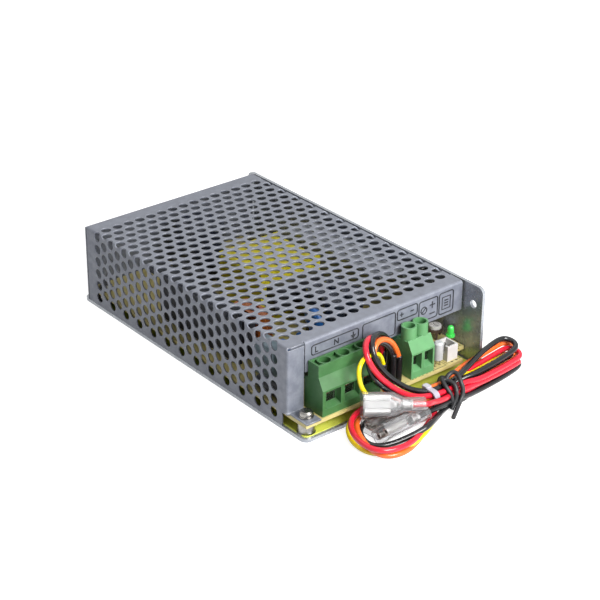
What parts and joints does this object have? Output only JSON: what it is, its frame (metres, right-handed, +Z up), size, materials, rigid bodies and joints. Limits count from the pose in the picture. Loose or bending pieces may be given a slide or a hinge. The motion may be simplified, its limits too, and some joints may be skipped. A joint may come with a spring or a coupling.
{
  "type": "switching power supply",
  "caption": "Enclosed switching power supply with a perforated folded cover, screw terminals at one end and a tied hank of output leads with booted spade connectors.",
  "frame": {"origin": "centre of the floor plate's underside, on the surface the module stands on", "axes": "+X along the length towards the screw terminals, +Y across towards the solid aluminium wall, +Z up through the perforated top"},
  "size_m": [0.1936, 0.1158, 0.0381],
  "materials": {
    "aluminium_chassis": "brushed satin",
    "galvanised_cover": "galvanised, satin",
    "insulation": "smooth, slightly translucent",
    "board": "glass-cloth laminate, satin",
    "plated_steel": "nickel plated",
    "dark_green": "moulded, satin gloss",
    "light_green": "moulded, satin gloss",
    "tinned": "tinned",
    "brown_plastic": "moulded",
    "white_plastic": "moulded, satin",
    "green_lens": "translucent epoxy",
    "sleeved_white": "shrink film",
    "ferrite": "sintered, dull",
    "yellow_tape": "film tape",
    "capacitor_sleeve": "shrink film",
    "sink": "mill finish",
    "moulded_black": "moulded epoxy",
    "copper_wire": "enamelled copper",
    "powder_core": "coated, wound",
    "film_box": "moulded",
    "blue_dip": "dipped epoxy",
    "light_blue_box": "moulded",
    "dark_dip": "dipped silicone",
    "fuse_sleeve": "shrink film",
    "black_sleeve": "shrink tube",
    "red_wire": "soft insulation",
    "black_wire": "soft insulation",
    "orange_wire": "soft insulation",
    "yellow_wire": "soft insulation",
    "white_nylon": "moulded nylon",
    "black_tie": "coated wire",
    "clear_boot": "clear soft vinyl"
  },
  "bodies": {
    "module": {"base_chassis": "aluminium_chassis", "battery_fuse": "sleeved_white", "black_lead": "black_wire", "black_tail": "black_wire", "board_screws": "plated_steel", "bridge_rectifier": "moulded_black", "bulk_capacitor": "capacitor_sleeve", "cable_tie": "white_nylon", "choke_core": "ferrite", "choke_windings": "copper_wire", "cover": "galvanised_cover", "cover_screws": "plated_steel", "film_capacitor": "light_blue_box", "fuse_leads": "tinned", "header_pins": "tinned", "header_shell": "white_plastic", "input_contacts": "tinned", "input_terminal_body": "dark_green", "inrush_thermistor": "dark_dip", "insulation_sheet": "insulation", "lead_hank": "black_wire", "lead_sleeves": "black_sleeve", "led_leads": "tinned", "line_fuse": "fuse_sleeve", "orange_lead": "orange_wire", "orange_tail": "orange_wire", "output_capacitors": "capacitor_sleeve", "output_choke": "powder_core", "output_contacts": "tinned", "output_terminal_body": "light_green", "pcb": "board", "power_led": "green_lens", "primary_heatsink": "sink", "primary_transistor": "moulded_black", "red_lead": "red_wire", "red_tail": "red_wire", "second_black_lead": "black_wire", "secondary_heatsink": "sink", "secondary_rectifier": "moulded_black", "spade_boots": "clear_boot", "spade_receptacles": "tinned", "standoffs": "plated_steel", "transformer_core": "ferrite", "transformer_winding": "yellow_tape", "trimmer_base": "brown_plastic", "twist_tie": "black_tie", "x_capacitor": "film_box", "y_capacitors": "blue_dip", "yellow_lead": "yellow_wire"},
    "input_screw_1": {"input_screw_1": "plated_steel"},
    "input_clamp_1": {"input_clamp_1": "tinned"},
    "input_screw_2": {"input_screw_2": "plated_steel"},
    "input_clamp_2": {"input_clamp_2": "tinned"},
    "input_screw_3": {"input_screw_3": "plated_steel"},
    "input_clamp_3": {"input_clamp_3": "tinned"},
    "output_screw_1": {"output_screw_1": "plated_steel"},
    "output_clamp_1": {"output_clamp_1": "tinned"},
    "output_screw_2": {"output_screw_2": "plated_steel"},
    "output_clamp_2": {"output_clamp_2": "tinned"},
    "trimmer_rotor": {"trimmer_rotor": "white_plastic"}
  },
  "joints": [
    {"name": "input_screw_1_turn", "type": "hinge", "parent": "module", "child": "input_screw_1", "pos_m": [0.0721, -0.0328, 0.0224], "axis": [0, 0, 1], "range_deg": [-1800, 0]},
    {"name": "input_clamp_1_rise", "type": "slide", "parent": "module", "child": "input_clamp_1", "axis": [0, 0, 1], "range_m": [0, 0.0025]},
    {"name": "input_screw_2_turn", "type": "hinge", "parent": "module", "child": "input_screw_2", "pos_m": [0.0721, -0.023, 0.0224], "axis": [0, 0, 1], "range_deg": [-1800, 0]},
    {"name": "input_clamp_2_rise", "type": "slide", "parent": "module", "child": "input_clamp_2", "axis": [0, 0, 1], "range_m": [0, 0.0025]},
    {"name": "input_screw_3_turn", "type": "hinge", "parent": "module", "child": "input_screw_3", "pos_m": [0.0721, -0.0132, 0.0224], "axis": [0, 0, 1], "range_deg": [-1800, 0]},
    {"name": "input_clamp_3_rise", "type": "slide", "parent": "module", "child": "input_clamp_3", "axis": [0, 0, 1], "range_m": [0, 0.0025]},
    {"name": "output_screw_1_turn", "type": "hinge", "parent": "module", "child": "output_screw_1", "pos_m": [0.0721, 0.01243, 0.0224], "axis": [0, 0, 1], "range_deg": [-1800, 0]},
    {"name": "output_clamp_1_rise", "type": "slide", "parent": "module", "child": "output_clamp_1", "axis": [0, 0, 1], "range_m": [0, 0.0025]},
    {"name": "output_screw_2_turn", "type": "hinge", "parent": "module", "child": "output_screw_2", "pos_m": [0.0721, 0.01878, 0.0224], "axis": [0, 0, 1], "range_deg": [-1800, 0]},
    {"name": "output_clamp_2_rise", "type": "slide", "parent": "module", "child": "output_clamp_2", "axis": [0, 0, 1], "range_m": [0, 0.0025]},
    {"name": "trimmer_turn", "type": "hinge", "parent": "module", "child": "trimmer_rotor", "pos_m": [0.057, 0.0423, 0.0125], "axis": [0, 0, 1], "range_deg": [-135, 135]}
  ],
  "couplings": [
    {"joint": "input_screw_1_turn", "follows": "input_clamp_1_rise", "rad_per_m": -12566},
    {"joint": "input_screw_2_turn", "follows": "input_clamp_2_rise", "rad_per_m": -12566},
    {"joint": "input_screw_3_turn", "follows": "input_clamp_3_rise", "rad_per_m": -12566},
    {"joint": "output_screw_1_turn", "follows": "output_clamp_1_rise", "rad_per_m": -12566},
    {"joint": "output_screw_2_turn", "follows": "output_clamp_2_rise", "rad_per_m": -12566}
  ]
}
